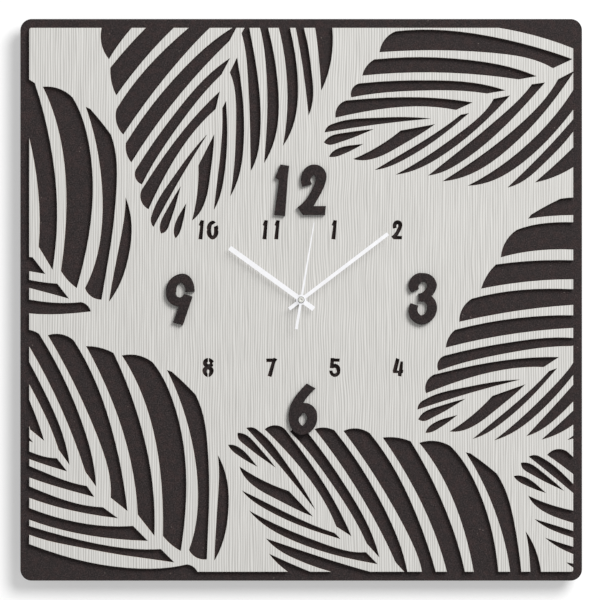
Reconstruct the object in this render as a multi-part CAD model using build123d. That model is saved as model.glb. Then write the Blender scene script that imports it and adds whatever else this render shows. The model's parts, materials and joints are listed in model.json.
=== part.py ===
from build123d import *
import math
import os

os.makedirs("parts", exist_ok=True)

# A square two-layer panel wall clock with a quartz movement, in millimetres.
# The dial faces -Y, +X is to the right of the dial and +Z is up.
# The origin is on the hand shaft, midway between the wall plane and the foremost point.

# ---- driving dimensions ---------------------------------------------------
base_side = 500.0
base_corner = 10.0
base_thick = 6.0
front_side = 484.0
front_corner = 2.0
front_thick = 3.0
numeral_thick = 3.0

gasket_thick = 0.8
gasket_radius = 15.0
hanger_thick = 0.8
case_side = 56.0
case_corner = 3.0
case_depth = 16.0
case_wall = 1.4
case_front = 1.2
lid_thick = 1.2
knob_thick = 3.0
wall_gap = 21.6

bush_radius = 3.9
hour_pipe_radius = 2.5
minute_pipe_radius = 1.6
minute_seat_radius = 1.2
second_arbor_radius = 0.45
arbor_radius = 0.4
rotor_arbor_radius = 0.3
knob_shaft_radius = 1.0
running_gap = 0.07
snug_gap = 0.1
loose_gap = 0.2

hour_hand_length = 78.8
hour_hand_tail = 13.9
hour_hand_width = 4.4
hour_boss_radius = 4.7
hour_tip_cut = 0.5
hour_angle = 306.0
minute_hand_length = 97.0
minute_hand_tail = 13.5
minute_hand_width = 3.3
minute_boss_radius = 3.9
minute_tip_cut = 0.4
minute_angle = 52.7
second_hand_length = 69.6
second_hand_tail = 26.4
second_tip_width = 0.8
second_tail_width = 2.6
second_boss_radius = 3.1
second_cap_edge = 0.35
second_socket_radius = 1.2
second_angle = 9.5
collar_wall = 0.8
collar_height = 0.8

# Heights above the rear face of the base panel, towards the viewer.
panel_top = base_thick + front_thick
numeral_top = panel_top + numeral_thick
bush_top = 10.8
hour_hand_low = numeral_top + 1.0
hour_hand_top = hour_hand_low + 0.5
minute_hand_low = 15.0
minute_hand_top = minute_hand_low + 0.4
second_hand_low = 16.8
second_hand_top = second_hand_low + 0.3
cap_top = second_hand_top + 0.4

# The rear face of the base panel along Y, with the clock centred between wall and cap,
# and the front face of the movement case behind it.
rear_face_y = (cap_top - wall_gap) / 2
case_offset = gasket_thick + hanger_thick
case_front_y = rear_face_y + case_offset

# ---- gear train -----------------------------------------------------------
tooth_addendum = 0.7
tooth_dedendum = 1.1
pinion_tip_share = 0.10
pinion_root_share = 0.26
wheel_tip_share = 0.12
wheel_root_share = 0.27
largest_pinion = 15

pinion_leaves = 8
rotor_module = 0.18
intermediate_teeth = 48
second_module = 0.285
second_teeth = 40
third_module = 0.2
third_teeth = 60
centre_teeth = 64
cannon_leaves = 12
motion_teeth = 36
cannon_module = 0.25
motion_leaves = 10
hour_teeth = 40
hour_module = 0.24
knob_leaves = 15


def mesh_distance(module, teeth_a, teeth_b):
    """Centre distance of two meshed gears."""
    return module * (teeth_a + teeth_b) / 2


def step(point, angle, distance):
    """Point reached from another one, going a distance at an angle from +X."""
    a = math.radians(angle)
    return (point[0] + distance * math.cos(a), point[1] + distance * math.sin(a))


third_distance = mesh_distance(third_module, pinion_leaves, third_teeth)
centre_module = 2 * third_distance / (pinion_leaves + centre_teeth)

shaft = (0.0, 0.0)
motion_angle = 150.0
third_angle = 60.0
intermediate_angle = -30.0
rotor_angle = -10.0
motion_axis = step(shaft, motion_angle, mesh_distance(cannon_module, cannon_leaves, motion_teeth))
knob_axis = step(motion_axis, motion_angle, mesh_distance(cannon_module, motion_teeth, knob_leaves))
third_axis = step(shaft, third_angle, third_distance)
intermediate_axis = step(
    shaft, intermediate_angle, mesh_distance(second_module, pinion_leaves, second_teeth)
)
rotor_axis = step(
    intermediate_axis, rotor_angle, mesh_distance(rotor_module, pinion_leaves, intermediate_teeth)
)

# ---- general helpers ------------------------------------------------------


def outline(start, *sides):
    """Face inside a closed line of sides.

    Each side lists the points it passes through after the end of the side before it:
    one point makes it straight, two make it an arc and more make it a smooth curve.
    """
    edges = []
    here = start
    for side in sides:
        if len(side) == 1:
            edges.append(Line(here, side[0]))
        elif len(side) == 2:
            edges.append(ThreePointArc(here, side[0], side[1]))
        else:
            edges.append(Spline(here, *side))
        here = side[-1]
    return make_face(edges)


def polygon(*points):
    """Face with straight sides."""
    return make_face(Polyline(*points, close=True))


def disc(radius, centre=shaft):
    """Round face."""
    return Pos(*centre) * Circle(radius)


def ring(outer, inner, centre=shaft):
    """Round face with a round hole."""
    return disc(outer, centre) - disc(inner, centre)


def block(left, right, bottom, top):
    """Rectangular face between four limits."""
    return Pos((left + right) / 2, (bottom + top) / 2) * Rectangle(right - left, top - bottom)


def slab(face, low, high):
    """Solid from a face drawn as seen from the front, between two heights towards the viewer."""
    plane = Plane(origin=(0, rear_face_y - low, 0), x_dir=(1, 0, 0), z_dir=(0, -1, 0))
    return plane * extrude(face, high - low)


def case_slab(face, start, end):
    """Solid between two depths behind the front face of the movement case."""
    return slab(face, -case_offset - end, -case_offset - start)


def pointing(solid, clock_angle):
    """Turn a hand that points up so that it points clockwise from twelve."""
    return Rot(0, clock_angle, 0) * solid


def gear(teeth, module, phase, centre=shaft):
    """Toothed face with one tooth centred at the phase angle, in degrees from +X."""
    small = teeth <= largest_pinion
    tip_share = pinion_tip_share if small else wheel_tip_share
    root_share = pinion_root_share if small else wheel_root_share
    tip = module * (teeth / 2 + tooth_addendum)
    root = module * (teeth / 2 - tooth_dedendum)
    pitch = 360 / teeth
    points = []
    for tooth in range(teeth):
        middle = phase + tooth * pitch
        points.append(step(centre, middle - root_share * pitch, root))
        points.append(step(centre, middle - tip_share * pitch, tip))
        points.append(step(centre, middle + tip_share * pitch, tip))
        points.append(step(centre, middle + root_share * pitch, root))
    return polygon(*points)


def gap_phase(teeth, angle):
    """Phase that puts the middle of a tooth gap at an angle."""
    return angle + 180 / teeth


def save(node, solid):
    """Write one sub-part."""
    export_step(solid, f"parts/{node}.step")


# ---- leaf pattern ---------------------------------------------------------
# One leaf lies along +X with its stalk end to the right. Every slot is a cut-out.


def leaf_fingers():
    """The two short slots at the tip of the leaf."""
    lower = outline(
        (3.3, -4.4),
        [(7, -1.9), (13.5, -0.7), (24, -2.1), (35.8, -5.5)],
        [(26, -6.7), (17, -7.1), (7, -6.2), (3.3, -4.4)],
    )
    upper = outline(
        (4.0, 9.2),
        [(10.6, 11.9), (25, 9.8), (38, 6.6), (49.3, 3.1)],
        [(30, 3.1), (15, 4.0), (7.2, 5.5), (4.0, 9.2)],
    )
    return [lower, upper]


def leaf_broad_side():
    """The nine slots on the broad side, from the tip of the leaf to its stalk."""
    return [
        outline(
            (7.9, 17.1),
            [(11, 20.1), (16.7, 21.4)],
            [(33, 19.2), (50, 13.6), (80, 2.2), (100, -7.6)],
            [(50, 6.9), (7.9, 17.1)],
        ),
        outline(
            (22.0, 25.5),
            [(25.7, 32.3), (36.7, 36)],
            [(70, 25), (100, 12.9), (139.7, -8.4)],
            [(123.7, -9)],
            [(99.8, 4.2), (60, 17.8), (40, 22.3), (22.0, 25.5)],
        ),
        outline(
            (41.8, 36.9),
            [(44.9, 43.2), (53.5, 45.5)],
            [(80, 36.9), (110, 25.2), (150, 5.8), (170.8, -9.6)],
            [(154.6, -5.9)],
            [(130, 7.1), (100, 19.4), (72, 29.2), (41.8, 36.9)],
        ),
        outline(
            (58.2, 51.1),
            [(64.3, 57.0), (73.5, 60.3)],
            [(110, 47.5), (150.3, 28.3), (185.5, 5.7), (201.4, -8.6)],
            [(185.4, -5)],
            [(130, 24.2), (58.2, 51.1)],
        ),
        outline(
            (80.3, 64.5),
            [(87.1, 72), (100.6, 76.2)],
            [(140.2, 61), (180, 37.9), (210.2, 16), (236.6, -6.6)],
            [(217.5, -7.5)],
            [(200, 9.5), (180.7, 21.5), (160, 32.2), (120, 50), (80.3, 64.5)],
        ),
        outline(
            (112.3, 79.6),
            [(123, 87), (134.6, 91.1)],
            [(160, 79.2), (190, 62), (220, 41.1), (250, 14.2), (269.2, -7.4)],
            [(245.7, -3)],
            [(210, 28.3), (164.9, 56.5), (112.3, 79.6)],
        ),
        outline(
            (141.7, 94.3),
            [(150.6, 102.8), (166.5, 107.8)],
            [(184.4, 102.7), (200.3, 95.1), (240.1, 66.5), (270.7, 33.5), (295.7, -2.1)],
            [(285.4, -3.4), (275.0, -2.5)],
            [(244.8, 30.2), (199.7, 67.2), (169.8, 84), (141.7, 94.3)],
        ),
        outline(
            (180.4, 111.0),
            [(184.5, 112.7)],
            [(200, 112.4), (214, 111.3)],
            [(231, 102.1), (252.2, 83.9), (280.2, 54.1), (300, 30.1), (318, 7.6)],
            [(311.5, 3.1), (300.6, 3.4)],
            [(289.5, 25.6), (264.8, 55.7), (229.6, 84.4), (207.4, 98.1), (180.4, 111.0)],
        ),
        outline(
            (264.2, 84.0),
            [(286, 71.8), (305, 51.5), (318, 30), (323.8, 11.2)],
            [(310.6, 27.7), (288, 57.2), (276, 72.1), (264.2, 84.0)],
        ),
    ]


def leaf_slender_side():
    """The eight slots on the slender side, from the tip of the leaf to its stalk."""
    return [
        outline(
            (22.4, -14.5),
            [(46, -12.8), (71.2, -7.2)],
            [(101.6, -13.6)],
            [(87, -16.6), (70, -19.0), (46, -21.5), (30, -18.9), (22.4, -14.5)],
        ),
        outline(
            (36.4, -30.8),
            [(85, -23.6), (112, -18.3), (126, -14.5)],
            [(133.2, -16)],
            [(100, -26.0), (65, -32.2), (48, -32.8), (36.4, -30.8)],
        ),
        outline(
            (52, -41.8),
            [(80, -37.9), (117, -29.6), (135, -24.5), (149.2, -18.7), (158.4, -12.6)],
            [(173, -15.4)],
            [(140, -29.5), (100, -41.2), (72, -44.5), (52, -41.8)],
        ),
        outline(
            (78.5, -53.5),
            [(120, -41.5), (159.9, -28.8), (182, -20.4), (194.8, -13.6)],
            [(206.2, -16.6)],
            [(170, -33.9), (130, -48.8), (112, -53.2), (95, -55.4), (78.5, -53.5)],
        ),
        outline(
            (88.4, -63.1),
            [(130, -54.7), (175, -41.2), (200.3, -30.1), (218, -18.4)],
            [(234.5, -16.9)],
            [(200.2, -38.2), (180.5, -48.1), (160.5, -56.3), (110, -66.7), (88.4, -63.1)],
        ),
        outline(
            (107.7, -75.3),
            [(140, -70.5), (180, -57.9), (220, -37), (249.1, -13.2)],
            [(267.7, -14.6)],
            [(240, -35.7), (200, -59.5), (160, -75.1), (130, -79.5), (107.7, -75.3)],
        ),
        outline(
            (139.7, -90.3),
            [(179.9, -74.0), (220, -54.7), (260, -30.4), (281.3, -12.4)],
            [(298.1, -13.5)],
            [(279.5, -25.6), (260.4, -38.2), (220, -62.3), (199.4, -73.7), (180.4, -81.8),
             (150, -90.8), (139.7, -90.3)],
        ),
        outline(
            (163.9, -95.4),
            [(200, -82.5), (240, -63.9), (270, -44.5), (295.8, -21.9), (307.5, -7.6)],
            [(314, -5.2), (319.5, -6.5)],
            [(300.9, -31.2), (287, -46.2), (265.5, -63.8), (219, -90.9), (184, -97.3), (163.9, -95.4)],
        ),
    ]


def leaf():
    """All the slots of one leaf as a flat sketch."""
    slots = Sketch()
    for slot in leaf_fingers() + leaf_broad_side() + leaf_slender_side():
        slots += slot
    return slots


# Position of the leaf tip on the dial and the direction of the leaf, from +X.
leaf_places = [
    ((-117.0, 52.7), 74.9),
    ((20.0, 130.1), 22.4),
    ((105.5, -116.4), 31.3),
    ((188.0, -151.6), -25.5),
    ((-65.1, -123.6), -34.9),
    ((-328.3, -27.2), -41.2),
    ((-394.5, 232.9), -48.4),
]

# ---- digits ---------------------------------------------------------------
# Each digit is drawn at the size of the raised numerals.


def digit_one():
    """One, with its foot's left end at the origin."""
    return outline(
        (0, 0),
        [(4.2, 31.1)],
        [(0.8, 33)],
        [(2.9, 38.5), (5.6, 44.9)],
        [(13.2, 43.7)],
        [(12.2, 34.5)],
        [(9.6, -0.9)],
        [(0, 0)],
    )


def digit_two():
    """Two, with its foot's left end at the origin."""
    return outline(
        (0, 0),
        [(-4.8, 6.8)],
        [(3.2, 14.4), (8.2, 22.8), (10.9, 29.6)],
        [(11.3, 32.4), (9.4, 35.4), (7.5, 33.4), (7, 29.8)],
        [(8, 27.4)],
        [(-0.3, 25)],
        [(-1.6, 33.5), (2.2, 41.6), (9.8, 44.8)],
        [(17.8, 41.8), (21, 33)],
        [(18.4, 23.8), (14, 15.5), (9.7, 7.9)],
        [(20.5, 7.9)],
        [(19.7, 0)],
        [(0, 0)],
    )


def digit_three():
    """Three at its own place right of the shaft."""
    return outline(
        (98.1, 6.5),
        [(95.4, 13), (98.5, 20.3), (108.2, 23.8)],
        [(117.3, 20.3), (120.7, 12.8)],
        [(119.2, 7.8), (115.9, 3.3)],
        [(119.6, -1.4), (120.8, -7.5)],
        [(117.3, -16.8), (107, -22.2)],
        [(96.5, -14.8), (97.5, -2.9)],
        [(104.3, -5.3)],
        [(103.6, -10.2), (106.7, -13.8)],
        [(110.6, -11.5), (111.8, -7)],
        [(111, -3.2), (108.4, -1.6)],
        [(104.4, -1.6)],
        [(104.4, 5.6)],
        [(107, 6.2), (110.4, 9), (111.8, 13), (109.2, 16), (106, 14.9), (104.8, 9.8)],
        [(98.1, 6.5)],
    )


def digit_six():
    """Six at its own place below the shaft, with its closed eye."""
    body = outline(
        (5, -74.4),
        [(12.8, -78.8)],
        [(7.1, -84.4), (2, -91.6)],
        [(5.3, -91.9)],
        [(11.6, -95.8), (14.3, -104.5)],
        [(10.6, -115), (0, -120.3)],
        [(-8.8, -114.3), (-11.2, -104.5), (-8.2, -91), (-2, -81.8), (5, -74.4)],
    )
    eye = outline(
        (0.1, -103),
        [(0.9, -101.2), (2.9, -100.5)],
        [(4.9, -103.5), (4.1, -108.8), (1.2, -112)],
        [(-1.6, -108.9), (-1.8, -104.7)],
        [(0.1, -103)],
    )
    return body - eye


def digit_nine():
    """Nine at its own place left of the shaft, with its open bowl."""
    return outline(
        (-94.8, 7.2),
        [(-95.5, 13.5), (-99.6, 21), (-106.2, 23.3)],
        [(-116, 18.6), (-120.2, 7.4)],
        [(-117.4, -1.9), (-109, -5.9)],
        [(-113.9, -20.2)],
        [(-105.2, -22.6)],
        [(-96.6, 2.7)],
        [(-99.5, 4), (-104.4, 5)],
        [(-108.1, 2.2), (-111, 7.6)],
        [(-110, 12.7), (-107, 15.4)],
        [(-103.9, 12.3), (-103.1, 6.9)],
        [(-94.8, 7.2)],
    )


def digit_zero():
    """Stencil nought, centred on the origin, with its eye held by a slanted bridge."""
    body = outline(
        (-4.8, 0.2),
        [(-3.3, 6.4), (0, 8.4), (3.3, 6.4), (4.8, 0.2)],
        [(3.4, -6.4), (0, -8.4), (-3.4, -6.4), (-4.8, 0.2)],
    )
    bridge = polygon((-0.4, 4.4), (0.6, 2.6), (5.6, 4.8), (3.0, 6.9))
    return body - Ellipse(1.3, 4.9) - bridge


def digit_four():
    """Stencil four, with an open top."""
    return polygon(
        (3.0, 16.4),
        (6.1, 15.3),
        (3.9, 5.5),
        (5.3, 4.9),
        (6.9, 13.3),
        (9.2, 13.3),
        (8.9, 5.8),
        (9.5, 5.6),
        (9.1, 3.0),
        (8.1, 2.9),
        (7.7, -0.1),
        (4.5, 0.5),
        (4.7, 2.9),
        (0.3, 3.0),
        (0.0, 5.2),
    )


def digit_five():
    """Stencil five, with its lower left corner near the origin."""
    return outline(
        (0.3, 8.0),
        [(1.1, 16.9)],
        [(4.1, 16.9)],
        [(4.9, 16.4)],
        [(9.2, 16.4)],
        [(8.8, 13.6)],
        [(4.1, 13.6)],
        [(3.8, 11.8)],
        [(8.3, 10.2), (9.7, 5.6)],
        [(8.4, 1.7), (4.4, 0)],
        [(1, 2), (0, 5.8)],
        [(2.9, 5.6)],
        [(4.3, 3.2), (6, 6.3)],
        [(5.5, 7.8), (4.2, 8.1)],
        [(3.2, 7.6)],
        [(0.3, 8.0)],
    )


def digit_seven():
    """Stencil seven, with its top left corner at the origin."""
    return outline(
        (0, 0),
        [(6, 0.1)],
        [(7.1, 0.7)],
        [(9.9, -0.6)],
        [(8.1, -3.6), (6.5, -9.5), (4.4, -16.4)],
        [(1.2, -15.4)],
        [(3, -9.2), (4.9, -3.1)],
        [(0.1, -3.1)],
        [(0, 0)],
    )


def digit_eight():
    """Stencil eight, centred on its waist, with both eyes held by upright bridges."""
    upper = outline(
        (-3.0, 0),
        [(-4.5, 4.2), (-3.2, 6.6), (-0.2, 7.7)],
        [(3.2, 6.8), (5.2, 4.7)],
        [(3.7, 3.2)],
        [(4.6, 1.5)],
        [(4.3, 0.6), (3.0, 0)],
        [(-3.0, 0)],
    )
    lower = outline(
        (-3.0, 0),
        [(-4.9, -4.5), (0, -9.2), (4.9, -4.5), (3.0, 0)],
        [(-3.0, 0)],
    )
    upper_eye = Pos(0.4, 3.4) * Ellipse(1.2, 1.1)
    lower_eye = Pos(0, -4.3) * Ellipse(1.1, 1.9)
    upper_bridge = block(-0.1, 0.7, 3.5, 8.2)
    lower_bridge = block(-0.3, 0.5, -9.6, -5.5)
    return upper + lower - upper_eye - lower_eye - upper_bridge - lower_bridge


def placed(face, left, bottom, size=1.0):
    """Digit moved to its place on the dial, at a share of its drawn size."""
    return Pos(left, bottom) * scale(face, size)


small_digit = 0.378
digit_height = 54.0
digit_base_line = -68.7


def stencil_digits():
    """The small hours, which are cut through the front panel."""
    one = digit_one()
    cuts = Sketch()
    for left in (-91.5, -34.6, -24.1, 26.8):
        cuts += placed(one, left, digit_height, small_digit)
    cuts += placed(digit_zero(), -78.9, 62.0)
    cuts += placed(digit_two(), 82.0, 53.8, small_digit)
    cuts += placed(digit_eight(), -82.9, -59.6)
    cuts += placed(digit_seven(), -31.1, -52.3)
    cuts += placed(digit_five(), 25.1, digit_base_line)
    cuts += placed(digit_four(), 81.4, -68.2)
    return cuts


# ---- dial and hands -------------------------------------------------------
base_hole_radius = bush_radius + loose_gap
front_hole_radius = bush_radius + 2 * loose_gap
nut_pocket_radius = 8.0
nut_pocket_floor = 3.0
washer_radius = 7.0
washer_thick = 0.6
nut_across_flats = 11.5
nut_thick = 2.0


def base_panel():
    """Dark square rear board with a pocket for the fixing nut."""
    board = slab(RectangleRounded(base_side, base_side, base_corner), 0, base_thick)
    board -= slab(disc(base_hole_radius), 0, base_thick)
    board -= slab(disc(nut_pocket_radius), nut_pocket_floor, base_thick)
    return board


def front_panel():
    """Light fretwork board with the leaf slots and the stencil hours.

    Slivers that the slots cut loose at two corners fall out of the board.
    """
    face = RectangleRounded(front_side, front_side, front_corner)
    face -= disc(front_hole_radius)
    face -= stencil_digits()
    one_leaf = leaf()
    for (left, up), angle in leaf_places:
        face -= Pos(left, up) * Rot(0, 0, angle) * one_leaf
    fretwork = slab(face, base_thick, panel_top)
    return fretwork.solids().sort_by(SortBy.VOLUME)[-1]


def numeral(face):
    """Raised numeral glued on the front panel."""
    return slab(face, panel_top, numeral_top)


def baton(length, tail, width, end_cut):
    """Straight hand outline that points up, with clipped corners at its tip."""
    half = width / 2
    return polygon(
        (-half, -tail),
        (half, -tail),
        (half, length - end_cut),
        (half - end_cut, length),
        (end_cut - half, length),
        (-half, length - end_cut),
    )


def hour_hand():
    """Hour hand with a collar that grips the hour pipe."""
    blade = baton(hour_hand_length, hour_hand_tail, hour_hand_width, hour_tip_cut)
    plate = slab(blade + disc(hour_boss_radius), hour_hand_low, hour_hand_top)
    collar_low = hour_hand_low - collar_height
    collar = slab(disc(hour_pipe_radius + collar_wall), collar_low, hour_hand_low)
    hole = slab(disc(hour_pipe_radius), collar_low, hour_hand_top)
    return pointing(plate + collar - hole, hour_angle)


def minute_hand():
    """Minute hand with a collar that grips the minute pipe."""
    blade = baton(minute_hand_length, minute_hand_tail, minute_hand_width, minute_tip_cut)
    plate = slab(blade + disc(minute_boss_radius), minute_hand_low, minute_hand_top)
    collar_low = minute_hand_low - collar_height
    collar = slab(disc(minute_pipe_radius + collar_wall), collar_low, minute_hand_low)
    hole = slab(disc(minute_pipe_radius), collar_low, minute_hand_top)
    return pointing(plate + collar - hole, minute_angle)


def second_hand():
    """Thin second hand with a widening tail, a socket and a domed cap."""
    tip = second_tip_width / 2
    tail = second_tail_width / 2
    blade = polygon(
        (-tail, -second_hand_tail),
        (tail, -second_hand_tail),
        (tip, second_hand_length),
        (-tip, second_hand_length),
    )
    plate = slab(blade + disc(second_boss_radius), second_hand_low, second_hand_top)
    cap = slab(disc(second_boss_radius), second_hand_top, cap_top)
    cap = fillet(cap.edges().group_by(Axis.Y)[0], second_cap_edge)
    socket_low = second_hand_low - collar_height
    socket = slab(disc(second_socket_radius), socket_low, second_hand_low)
    hole = slab(disc(second_arbor_radius), socket_low, second_hand_top)
    return pointing(plate + cap + socket - hole, second_angle)


# ---- fixing the movement --------------------------------------------------


def gasket():
    """Rubber ring between the base panel and the movement."""
    return slab(ring(gasket_radius, bush_radius + snug_gap), -gasket_thick, 0)


hanger_width = 12.0
hanger_foot_radius = 11.0
hanger_tab_width = 18.0
hanger_shoulder = 3.0
hanger_arch = 5.0
hanger_ledge = case_side / 2 + loose_gap
hanger_back = 12.2
hanger_hole_radius = 3.0
hanger_hole_height = 34.5
hanger_top = 41.0


def hanger():
    """Sheet steel hanger held under the movement, cranked back above the case."""
    half = hanger_width / 2
    foot = disc(hanger_foot_radius) + block(-half, half, 0, hanger_ledge + hanger_thick)
    foot -= disc(bush_radius + snug_gap)
    plate = slab(foot, -case_offset, -gasket_thick)
    ledge_face = block(-half, half, hanger_ledge, hanger_ledge + hanger_thick)
    ledge = slab(ledge_face, -hanger_back - hanger_thick, -case_offset)
    half_tab = hanger_tab_width / 2
    tab_face = outline(
        (-half, hanger_ledge),
        [(-half_tab, hanger_ledge + hanger_shoulder)],
        [(-half_tab, hanger_top - hanger_arch)],
        [(0, hanger_top), (half_tab, hanger_top - hanger_arch)],
        [(half_tab, hanger_ledge + hanger_shoulder)],
        [(half, hanger_ledge)],
        [(-half, hanger_ledge)],
    )
    tab_face -= disc(hanger_hole_radius, (0, hanger_hole_height))
    tab = slab(tab_face, -hanger_back - hanger_thick, -hanger_back)
    return plate + ledge + tab


def washer():
    """Flat washer under the fixing nut."""
    face = ring(washer_radius, bush_radius + snug_gap)
    return slab(face, nut_pocket_floor, nut_pocket_floor + washer_thick)


def hex_nut():
    """Six-sided nut on the threaded bush."""
    start = nut_pocket_floor + washer_thick
    face = RegularPolygon(nut_across_flats / 2, 6, major_radius=False) - disc(bush_radius)
    return slab(face, start, start + nut_thick)


spacer_radius = 9.0
spacer_offset = 200.0
spacer_edge = 1.2


def wall_spacers():
    """Two round bumpers that keep the lower edge parallel to the wall."""
    bumpers = []
    for side in (-1, 1):
        bumper = slab(disc(spacer_radius, (side * spacer_offset, -spacer_offset)), -wall_gap, 0)
        bumpers.append(fillet(bumper.edges().group_by(Axis.Y)[-1], spacer_edge))
    return Compound(children=bumpers)


# ---- movement case --------------------------------------------------------
inner_half = case_side / 2 - case_wall
bay_top = -10.4
bay_wall = 1.0
lid_depth = case_depth - lid_thick
plate_depth = 5.0
plate_thick = 1.0
post_radius = 1.6
post_side = 24.0
post_low = -8.0
post_high = 24.0
post_places = [(x, z) for x in (-post_side, post_side) for z in (post_low, post_high)]
motion_pin_radius = 0.6
motion_pin_end = 4.4
thread_grooves = 5
thread_pitch = 1.0
thread_depth = 0.15
plate_slot_half = 1.4
finger_offset = 8.0
finger_half = 3.0
finger_depth = 4.0
battery_radius = 7.25
battery_length = 50.5
battery_edge = 0.6
button_radius = 2.7
button_length = 1.0
battery_height = -19.0
battery_depth = case_front + loose_gap + battery_radius


def case_bush():
    """Threaded bush on the front of the case, with shallow thread grooves."""
    bush = slab(disc(bush_radius), -case_offset, bush_top)
    groove = ring(bush_radius, bush_radius - thread_depth)
    for turn in range(thread_grooves):
        low = bush_top - (turn + 1) * thread_pitch
        bush -= slab(groove, low, low + thread_pitch / 2)
    return bush


def movement_case():
    """Open tray with the battery bay, the bush and the pin of the motion wheel."""
    tray = case_slab(RectangleRounded(case_side, case_side, case_corner), 0, case_depth)
    tray -= case_slab(block(-inner_half, inner_half, bay_top, inner_half), case_front, case_depth)
    bay_floor = block(-inner_half, inner_half, -inner_half, bay_top - bay_wall)
    tray -= case_slab(bay_floor, case_front, case_depth)
    tray -= case_slab(block(-case_side, case_side, bay_top - bay_wall, case_side), lid_depth, case_depth)
    for side in (-1, 1):
        reach = sorted((side * inner_half, side * (inner_half - plate_slot_half)))
        slot = block(reach[0], reach[1], bay_top - 2 * bay_wall, bay_top + bay_wall)
        tray -= case_slab(slot, plate_depth + plate_thick, lid_depth)
        middle = side * finger_offset
        finger = block(middle - finger_half, middle + finger_half, -case_side, -inner_half)
        tray -= case_slab(finger, case_depth - finger_depth, case_depth)
    for place in post_places:
        tray += case_slab(disc(post_radius, place), case_front, plate_depth)
    tray += case_slab(disc(motion_pin_radius, motion_axis), case_front, motion_pin_end)
    tray += case_bush()
    bore = disc(hour_pipe_radius + running_gap)
    return tray - slab(bore, -case_offset - case_front, bush_top)


def middle_plate():
    """Plate that carries the front pivots and the circuit board."""
    edge = inner_half - snug_gap
    face = block(-edge, edge, bay_top + snug_gap, edge)
    face -= disc(minute_seat_radius + running_gap)
    face -= disc(knob_shaft_radius + running_gap, knob_axis)
    face -= disc(arbor_radius + running_gap, third_axis)
    face -= disc(arbor_radius + running_gap, intermediate_axis)
    face -= disc(rotor_arbor_radius + running_gap, rotor_axis)
    plate = case_slab(face, plate_depth, plate_depth + plate_thick)
    for x in (board_left + board_foot_inset, board_right - board_foot_inset):
        for z in (board_low + board_foot_inset, board_high - board_foot_inset):
            foot = disc(board_foot_radius, (x, z))
            plate += case_slab(foot, plate_depth + plate_thick, board_depth)
    return plate


pivot_boss_wall = 0.8
pivot_boss_height = 0.8
pivot_hole_floor = 0.5
relief = 0.4
dial_groove_outer = 6.4
dial_groove_inner = 5.6
groove_rows = 4
groove_pitch = 2.2
groove_width = 1.0


def movement_cover():
    """Rear lid over the gear train, with blind pivot holes, posts and shallow grooves."""
    half = case_side / 2
    outer = RectangleRounded(case_side, case_side, case_corner)
    face = outer & block(-half, half, bay_top - bay_wall, half)
    lid = case_slab(face, lid_depth, case_depth)
    for place in post_places:
        lid += case_slab(disc(post_radius, place), plate_depth + plate_thick, lid_depth)
    lid -= case_slab(disc(knob_shaft_radius + running_gap, knob_axis), lid_depth, case_depth)
    pivots = [
        (second_arbor_radius, shaft),
        (arbor_radius, third_axis),
        (arbor_radius, intermediate_axis),
        (rotor_arbor_radius, rotor_axis),
    ]
    for radius, centre in pivots:
        boss_depth = lid_depth - pivot_boss_height
        boss = case_slab(disc(radius + pivot_boss_wall, centre), boss_depth, lid_depth)
        hole_face = disc(radius + running_gap, centre)
        hole = case_slab(hole_face, boss_depth, case_depth - pivot_hole_floor)
        lid = lid + boss - hole
    lid -= case_slab(ring(dial_groove_outer, dial_groove_inner, knob_axis), case_depth - relief, case_depth)
    for row in range(groove_rows):
        low = post_high - 4 - groove_pitch * row
        groove = block(2, post_side, low, low + groove_width)
        lid -= case_slab(groove, case_depth - relief, case_depth)
    return lid


# ---- electrical parts -----------------------------------------------------
board_left = -25.8
board_right = -13.4
board_low = -5.0
board_high = 21.0
board_depth = 7.0
board_thick = 0.8
board_foot_inset = 2.0
board_foot_radius = 1.0
contact_thick = 0.4
contact_start = board_depth + board_thick
contact_end = contact_start + 4.0
contact_gap = 0.1
positive_reach = 3.75
positive_inset = 8.0
positive_lug = 2.0
negative_half = 6.0
negative_lug = 4.0
negative_inset = 1.6
negative_step = 1.5


chip_centre = (-18.5, 14.5)
chip_radius = 2.6
chip_height = 0.9
chip_edge = 0.7
can_x = -18.5
can_z = 3.0
can_radius = 1.0
can_length = 6.0
can_lift = 1.1
wire_radius = 0.12
wire_offset = 0.35
wire_reach = 1.8


def circuit_board():
    """Small board with a chip under a resin blob."""
    face = block(board_left, board_right, board_low, board_high)
    board = case_slab(face, board_depth, contact_start)
    blob = case_slab(disc(chip_radius, chip_centre), contact_start, contact_start + chip_height)
    return board + fillet(blob.edges().group_by(Axis.Y)[-1], chip_edge)


def quartz_crystal():
    """Metal can of the tuning-fork crystal with its two wires."""
    y = case_front_y + contact_start + can_lift
    can = Pos(can_x, y, can_z) * Cylinder(can_radius, can_length)
    can_top = can_z + can_length / 2
    for side in (-1, 1):
        x = can_x + side * wire_offset
        can += Pos(x, y, can_top + wire_reach / 2 - 0.1) * Cylinder(wire_radius, wire_reach)
        wire_end = disc(wire_radius, (x, can_top + wire_reach - 0.1))
        can += case_slab(wire_end, contact_start, contact_start + can_lift + wire_radius)
    return can


def battery():
    """AA cell that lies across the bay, with its button at the right."""
    y = case_front_y + battery_depth
    turn = Rot(0, 90, 0)
    left = -battery_length / 2
    right = battery_length / 2
    shoulder = right - button_length
    barrel = Cylinder(battery_radius, shoulder - left)
    barrel = Pos((left + shoulder) / 2, y, battery_height) * turn * barrel
    barrel = fillet(barrel.edges(), battery_edge)
    button = Cylinder(button_radius, 2 * button_length)
    return barrel + Pos(shoulder, y, battery_height) * turn * button


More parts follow.
